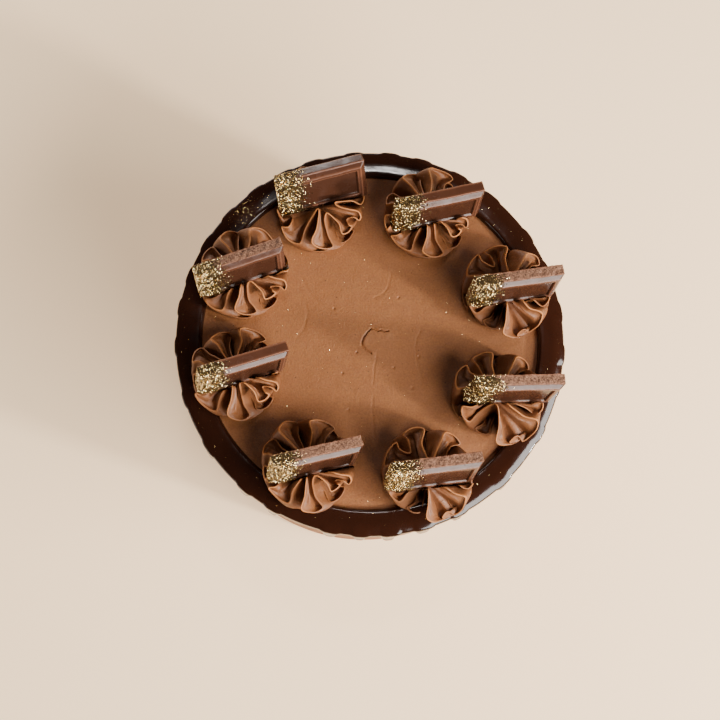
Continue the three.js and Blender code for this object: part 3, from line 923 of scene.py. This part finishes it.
def rectangle_ring(left, right, edge):
    """Points round a rectangle on the piece's face, as x and z, anticlockwise from its lower left."""
    x0, x1 = -PIECE_LENGTH / 2 + left, PIECE_LENGTH / 2 - right
    z0, z1 = edge, PIECE_HEIGHT - edge
    corners = [(x0, z0), (x1, z0), (x1, z1), (x0, z1), (x0, z0)]
    sides = []
    for start, end, steps in zip(corners, corners[1:], (LONG_STEPS, SHORT_STEPS) * 2):
        part = np.linspace(0, 1, steps, endpoint=False)[:, None]
        sides.append(mix(np.array(start), np.array(end), part))
    return np.concatenate(sides)


def piece_turn(place):
    """The rotation of a placed piece, as a matrix for points in rows."""
    heading, lean, tip = place[2:]
    turn = Euler((math.radians(-lean), math.radians(tip), math.radians(heading)), "XYZ")
    return np.array(turn.to_matrix()).T


def piece_body():
    """Points and faces of a piece, upright, with the middle of its underside at the origin."""
    rings = []
    for left, right, edge, depth in piece_path():
        ring = rectangle_ring(left, right, edge)
        rings.append(np.stack([ring[:, 0], np.full(len(ring), depth), ring[:, 1]], axis=-1))
    back = (0, PIECE_THICKNESS / 2, PIECE_HEIGHT / 2)
    panel = (0, -PIECE_THICKNESS / 2 + PIECE_RECESS, PIECE_HEIGHT / 2)
    return ring_body(rings, back, panel)


def frame_marks(points):
    """How far points are inside the sunk panel, for its painted shade, and how near to the rims of its
    frame, for their painted highlight.
    """
    to_left = points[:, 0] + PIECE_LENGTH / 2 - PIECE_LEFT_BEVEL
    to_right = PIECE_LENGTH / 2 - PIECE_RIGHT_BEVEL - points[:, 0]
    to_edge = np.minimum(points[:, 2], PIECE_HEIGHT - points[:, 2]) - PIECE_BEVEL
    inside = np.minimum(np.minimum(to_left, to_right), to_edge)
    in_front = smooth_step(0.0, -1.0, points[:, 1] + PIECE_THICKNESS / 2 - PIECE_RECESS - 0.6)
    panel = smooth_step(PIECE_FRAME, PIECE_FRAME + PIECE_RECESS_SLOPE, inside) * in_front
    rims = np.minimum(np.abs(inside), np.abs(inside - PIECE_FRAME))
    return panel, smooth_step(FRAME_EDGE_WIDTH, 0.0, rims) * in_front


def piece_shape(points, seeded, broken):
    """A piece's points, moved for its rough break and for the unevenness of the moulding."""
    rough = sum(share * bumps(seeded, size, seed) for size, seed, share in BROKEN_BUMPS)
    shaped = points.copy()
    shaped[:, 2] += broken * (rough * BROKEN_RELIEF - BROKEN_LOSS)
    return shaped + bumps_each_way(seeded, 6, 23) * MOULD_UNEVENNESS


def piece_marks(points, top, on_top, broken, dust):
    """Where a piece is broken, where its sunk panel gets painted shade, where its edges get painted
    highlights, and where it is dusted.
    """
    # Painted highlights along the top's back edge and its sill edge.
    back_edge_highlight = smooth_step(2.2, 2.9, points[:, 1]) * top
    sill_edge_highlight = smooth_step(SILL + 0.7, SILL + 0.1, points[:, 1]) * on_top
    panel, frame_rim_highlight = frame_marks(points)
    # The edge mark is a painted highlight: pale lines on the back and sill edges and on the frame's
    # rims.
    edge = OUTER_EDGE_HIGHLIGHT * (back_edge_highlight + sill_edge_highlight) + FRAME_RIM_HIGHLIGHT * frame_rim_highlight
    return {
        "broken": broken,
        "panel": panel,
        "edge": np.clip(edge, 0, 1),
        "dust": dust * smooth_step(2.95, 2.6, points[:, 1]),
    }


def gold_share(points, dust):
    """How thickly the flakes lie at each point: most on the upper bevel."""
    bevel_start = PIECE_HEIGHT - PIECE_BEVEL
    above_panel = smooth_step(bevel_start - 0.4, bevel_start + 0.4, points[:, 2])
    bevel = above_panel * smooth_step(SILL + 0.3, SILL - 0.3, points[:, 1])
    return dust ** GOLD_GATHERING * (1 + BEVEL_GOLD * bevel)


def build_chocolate(index, material):
    """A chocolate piece in its place. Gives its points, its faces and its gold for the flakes."""
    place = PIECE_PLACES[index]
    points, faces = piece_body()
    number = index + 1
    seeded = points + (0, 0, 100.0 * number)
    top = smooth_step(PIECE_HEIGHT - 0.5, PIECE_HEIGHT - 0.1, points[:, 2])
    on_top = top * smooth_step(SILL - 0.2, SILL, points[:, 1])
    broken = on_top if number in BROKEN_PIECES else on_top * 0.0
    dust_from = points[:, 0] + DUST_WANDER * bumps(seeded, 4, 30)
    dust = smooth_step(DUST_END, DUST_END - DUST_FADE, dust_from)
    marks = piece_marks(points, top, on_top, broken, dust)
    shaped = piece_shape(points, seeded, broken)
    placed = shaped @ piece_turn(place) + (place[0], place[1], CAKE_HEIGHT + PIECE_SUNK_TO)
    name = f"chocolate_bar_{number}"
    add_piece(name, placed, faces, material, [f"chocolate_piece_{number}"], marks)
    return placed, faces, gold_share(points, dust)


# ---- gold ----

FLAKES_PER_BAR = 3000
FLAKE_THICKNESS = 0.05
# A flake's corners, as shares of half its size along it and across it, and its tilt.
FLAKE_CORNERS = ((1, 0), (-0.6, 0.8), (-0.4, -0.9))
FLAKE_TILT = 0.75
# How much faster than the dust the flakes thin out, and how many more lie on the upper bevel.
GOLD_GATHERING = 1.4
BEVEL_GOLD = 1.6
# The smallest and the largest flake of each kind.
BAR_FLAKES = (0.3, 0.6)
RING_FLAKES = (0.2, 0.45)
TOP_FLAKES = (0.18, 0.38)
# The ring's flakes lie in one patch, and sparsely all round.
RING_PATCH_CENTRE = (-50.5, 53.0)
RING_PATCH_SPREAD = (6.5, 4.5)
RING_PATCH_DRAWS = 900
RING_PATCH_COUNT = 260
RING_SPARSE_COUNT = 260
TOP_COUNT = 900
# How far above the ring or the top the flakes lie.
FLAKE_GAP = 0.03


def flakes(places, normals, sizes, random):
    """Thin three-cornered flakes with a low peak, tilted at random about their surface's normals."""
    count = len(places)
    axis = normals + FLAKE_TILT * random.normal(size=(count, 3))
    axis /= lengths(axis)[:, None]
    side = np.cross(axis, random.normal(size=(count, 3)))
    side /= lengths(side)[:, None]
    across = np.cross(axis, side)
    half = sizes[:, None] / 2
    corners = [places + (side * a + across * b) * half for a, b in FLAKE_CORNERS]
    corners.append(places + axis * FLAKE_THICKNESS)
    points = np.stack(corners, axis=1).reshape(-1, 3)
    flake = np.array([(0, 1, 3), (1, 2, 3), (2, 0, 3), (2, 1, 0)])
    faces = (flake[None] + len(corners) * np.arange(count)[:, None, None]).reshape(-1, 3)
    return points, faces.tolist()


def scatter_on(points, faces, weights, count, random):
    """Places and normals on the four-sided faces, more where the weights are high."""
    quads = np.array([face for face in faces if len(face) == 4])
    a, b, c, d = (points[quads[:, k]] for k in range(4))
    crossed = np.cross(c - a, d - b)
    area = lengths(crossed) / 2
    chance = area * weights[quads].mean(axis=1)
    chosen = random.choice(len(quads), size=count, p=chance / chance.sum())
    u, v = random.random((2, count, 1))
    low = mix(a[chosen], b[chosen], u)
    high = mix(d[chosen], c[chosen], u)
    normals = crossed[chosen] / (2 * area[chosen, None])
    return mix(low, high, v), normals


def add_lying_gold(name, flat, height, size_range, random, material):
    """Flakes that lie level but for their tilt, at points of the plane."""
    normals = np.tile((0.0, 0.0, 1.0), (len(flat), 1))
    sizes = random.uniform(*size_range, len(flat))
    points, faces = flakes(np.c_[flat, height + FLAKE_GAP], normals, sizes, random)
    return add_piece(name, points, faces, material, smooth=False)


def build_bar_gold(bars, material):
    """Flakes on the dusted end of each chocolate piece, where it doesn't face down."""
    random = np.random.default_rng(31)
    all_points, all_faces = [], []
    for points, faces, weights in bars:
        places, normals = scatter_on(points, faces, weights, FLAKES_PER_BAR * 2, random)
        seen = np.flatnonzero(normals[:, 2] > -0.25)[:FLAKES_PER_BAR]
        places = places[seen] + normals[seen] * 0.1
        sizes = mix(*BAR_FLAKES, random.random(len(seen)) ** 2)
        plates, plate_faces = flakes(places, normals[seen], sizes, random)
        first = sum(len(group) for group in all_points)
        all_points.append(plates)
        all_faces += (np.array(plate_faces) + first).tolist()
    flaked = np.vstack(all_points)
    return add_piece("gold_flakes_on_bars", flaked, all_faces, material, smooth=False)


def build_ring_gold(material):
    """A sprinkle of flakes on the flat of the ganache ring."""
    random = np.random.default_rng(32)
    step_end = RING_INNER_RADIUS + RING_STEP_WIDTH
    patch = random.normal(size=(RING_PATCH_DRAWS, 2)) * RING_PATCH_SPREAD + RING_PATCH_CENTRE
    radius = lengths(patch)
    on_ring = (radius > step_end) & (radius < CAKE_TOP_RADIUS)
    angle = random.uniform(0, 2 * math.pi, RING_SPARSE_COUNT)
    reach = random.uniform(step_end, CAKE_TOP_RADIUS - 0.5, RING_SPARSE_COUNT)
    flat = np.vstack([patch[on_ring][:RING_PATCH_COUNT], on_circle(reach, angle)])
    flat_end = step_end + RING_FLAT_WIDTH
    slope_end = CAKE_TOP_RADIUS + 1.2
    slope = np.clip((lengths(flat) - flat_end) / (slope_end - flat_end), 0, 1)
    height = CAKE_HEIGHT + RING_THICKNESS - SLOPE_FALL * slope ** SLOPE_CURVE
    return add_lying_gold("gold_flakes_on_ring", flat, height, RING_FLAKES, random, material)


def build_top_gold(material):
    """Sparse specks on the smooth top."""
    random = np.random.default_rng(33)
    angle = random.uniform(0, 2 * math.pi, TOP_COUNT)
    reach = (RING_INNER_RADIUS - 1) * np.sqrt(random.uniform(0, 1, TOP_COUNT))
    flat = on_circle(reach, angle)
    fade = smooth_step(RING_INNER_RADIUS, RING_INNER_RADIUS - 3, reach)
    height = CAKE_HEIGHT + top_relief(flat) * fade
    return add_lying_gold("gold_specks_on_top", flat, height, TOP_FLAKES, random, material)


# ---- camera, floor and light; metres, watts and degrees ----

CAMERA_LENS = 65.9
CAMERA_NEAREST = 0.01
CAMERA_PLACE = (-0.0154, -0.0847, 0.6369)
CAMERA_TURN = (8.3, -1.22, 0.0)
FLOOR_CORNERS = [(-3, -3, 0), (3, -3, 0), (3, 3, 0), (-3, 3, 0)]
# The middle of the cake's top, which the lights face.
AIM = Vector((0, 0, CAKE_HEIGHT * MM))
# Each light: its direction as seen from above, its height, distance, size, power and colour.
LIGHTS = {
    "softbox": (-35, 38, 1.2, (1.2, 0.5), 37.0, (1.0, 0.97, 0.93)),
    "window": (-24, 21, 1.2, (0.1, 0.1), 20.0, (1.0, 0.95, 0.87)),
    "far_glow": (75, 14, 1.5, (0.8, 0.15), 2.5, (1.0, 0.95, 0.9)),
    "high_panel": (86, 73, 1.6, (0.12, 0.08), 3.0, (1.0, 0.95, 0.92)),
    "left_fill": (205, 5, 1.6, (1.2, 0.25), 9.0, (1.0, 0.97, 0.94)),
    "back_fill": (116, 9, 1.6, (1.2, 0.3), 17.0, (1.0, 0.97, 0.94)),
}
SURROUND_COLOUR = (1.0, 0.93, 0.86, 1.0)
SURROUND_STRENGTH = 0.03


def add_camera():
    data = bpy.data.cameras.new("camera")
    data.lens = CAMERA_LENS
    data.clip_start = CAMERA_NEAREST
    camera = add_object("camera", data)
    camera.location = CAMERA_PLACE
    camera.rotation_euler = Euler([math.radians(angle) for angle in CAMERA_TURN], "XYZ")
    bpy.context.scene.camera = camera


def add_floor(material):
    mesh = bpy.data.meshes.new("floor")
    mesh.from_pydata(FLOOR_CORNERS, [], [(0, 1, 2, 3)])
    mesh.materials.append(material)
    add_object("floor", mesh)


def add_light(name, direction, height, distance, size, watts, colour):
    """A soft light that faces the cake."""
    data = bpy.data.lights.new(name, "AREA")
    data.shape = "RECTANGLE"
    data.size, data.size_y = size
    data.energy = watts
    data.color = colour
    light = add_object(name, data)
    around, up = math.radians(direction), math.radians(height)
    flat = math.cos(up) * distance
    rise = math.sin(up) * distance
    light.location = AIM + Vector((flat * math.cos(around), flat * math.sin(around), rise))
    light.rotation_euler = (AIM - light.location).to_track_quat("-Z", "Y").to_euler()


def add_lights():
    for name, settings in LIGHTS.items():
        add_light(name, *settings)
    world = bpy.data.worlds.new("soft_surround")
    world.use_nodes = True
    background = world.node_tree.nodes["Background"]
    wire(background, Color=SURROUND_COLOUR, Strength=SURROUND_STRENGTH)
    bpy.context.scene.world = world


# ---- build ----


def build_all():
    add_camera()
    add_lights()
    add_floor(floor_material())
    build_cake(buttercream_material())
    build_ganache(ganache_material())
    piped = rosette_material()
    for index in range(len(ROSETTE_PLACES)):
        build_rosette(index, piped)
    moulded = chocolate_material()
    bars = [build_chocolate(index, moulded) for index in range(len(PIECE_PLACES))]
    gold = gold_material()
    build_bar_gold(bars, gold)
    build_ring_gold(gold)
    build_top_gold(gold)


build_all()
